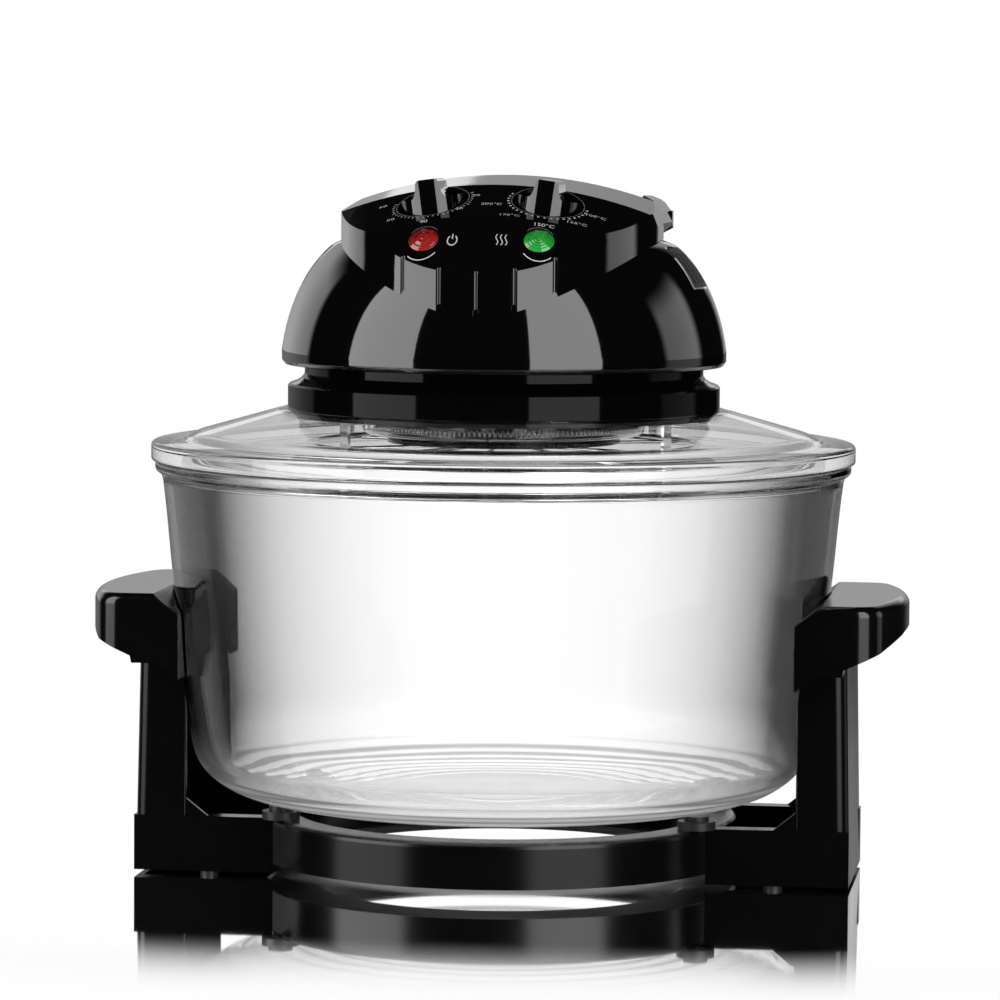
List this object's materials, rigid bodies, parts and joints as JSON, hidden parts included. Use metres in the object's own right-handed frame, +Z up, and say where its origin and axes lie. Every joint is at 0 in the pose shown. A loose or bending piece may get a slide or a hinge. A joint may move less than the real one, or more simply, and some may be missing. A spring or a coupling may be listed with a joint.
{
  "type": "halogen oven",
  "caption": "Countertop halogen oven: round glass bowl on a two-handled stand, glass lid with a domed motor head, timer and thermostat dials, lamp and fan under a wire guard",
  "frame": {"origin": "on the surface it stands on, under the axis of the bowl", "axes": "+Z up, the control panel faces -Y, +X to the right of a person facing the panel"},
  "size_m": [0.4056, 0.3504, 0.3472],
  "materials": {
    "black_gloss": "high gloss black moulding",
    "black_matte": "fine matte black moulding",
    "rubber": "soft black rubber",
    "clear_glass": "clear polished toughened glass",
    "red_lens": "clear red moulding",
    "green_lens": "clear green moulding",
    "steel": "brushed stainless steel",
    "dark_steel": "heat darkened steel",
    "chrome": "bright plated wire",
    "aluminium": "bright rolled aluminium",
    "quartz": "clear quartz tube",
    "tungsten": "dull wound wire",
    "ceramic": "white fired ceramic",
    "laminations": "varnished steel laminations",
    "copper": "enamelled copper winding",
    "brass": "turned brass",
    "cream_plastic": "cream moulding",
    "neon": "small glass lamps"
  },
  "bodies": {
    "stand": {"base_ring": "black_gloss", "ring_cover": "black_matte", "side_frame_left": "black_gloss", "side_frame_right": "black_gloss", "grip_left": "black_gloss", "grip_right": "black_gloss", "bowl_pads": "rubber", "floor_feet": "rubber", "grip_screws": "steel"},
    "bowl": {"glass_bowl": "clear_glass"},
    "fan": {"motor_shaft": "steel", "motor_rotor": "aluminium", "cooling_fan": "aluminium", "convection_fan": "aluminium"},
    "timer_dial": {"timer_knob": "black_gloss", "timer_spindle": "brass"},
    "thermostat_dial": {"thermostat_knob": "black_gloss", "thermostat_spindle": "brass"},
    "handle": {"carry_handle": "black_gloss", "handle_pins": "steel"},
    "plunger": {"switch_plunger": "cream_plastic"},
    "head": {"glass_lid": "clear_glass", "collar_ring": "black_gloss", "neck_housing": "black_gloss", "dome_cover": "black_gloss", "vent_grille_left": "black_matte", "vent_grille_right": "black_matte", "control_panel": "black_gloss", "top_cover": "black_gloss", "power_lens": "red_lens", "heat_lens": "green_lens", "indicator_lamps": "neon", "timer_unit": "cream_plastic", "thermostat_unit": "cream_plastic", "microswitch": "black_matte", "reflector_pan": "aluminium", "collar_screws": "steel", "guard_ring": "chrome", "guard_mesh": "chrome", "fan_shroud": "dark_steel", "lamp_tube": "quartz", "lamp_coil": "tungsten", "lamp_caps": "ceramic", "lamp_clips": "steel", "motor_stator": "laminations", "motor_coil": "copper", "motor_frame": "steel", "terminal_block": "cream_plastic", "thermal_cutout": "black_matte", "cord_gland": "black_matte"}
  },
  "joints": [
    {"name": "bowl_lift", "type": "slide", "parent": "stand", "child": "bowl", "axis": [0, 0, 1], "range_m": [0, 0.12]},
    {"name": "head_lift", "type": "slide", "parent": "bowl", "child": "head", "axis": [0, 0, 1], "range_m": [0, 0.12]},
    {"name": "fan_spin", "type": "hinge", "parent": "head", "child": "fan", "pos_m": [0, 0, 0.26], "axis": [0, 0, 1], "continuous": true},
    {"name": "timer_turn", "type": "hinge", "parent": "head", "child": "timer_dial", "pos_m": [-0.0282, -0.0553, 0.33464], "axis": [0.1346, 0, -0.9909], "range_deg": [0, 270]},
    {"name": "thermostat_turn", "type": "hinge", "parent": "head", "child": "thermostat_dial", "pos_m": [0.0282, -0.0553, 0.33464], "axis": [-0.1346, 0, -0.9909], "range_deg": [0, 290]},
    {"name": "handle_swing", "type": "hinge", "parent": "head", "child": "handle", "pos_m": [0, 0.022, 0.327], "axis": [1, 0, 0], "range_deg": [0, 90]},
    {"name": "plunger_slide", "type": "slide", "parent": "head", "child": "plunger", "axis": [0, 0, 1], "range_m": [0, 0.0015]}
  ],
  "couplings": [
    {"joint": "plunger_slide", "follows": "handle_swing", "m_per_rad": 0.00095}
  ]
}
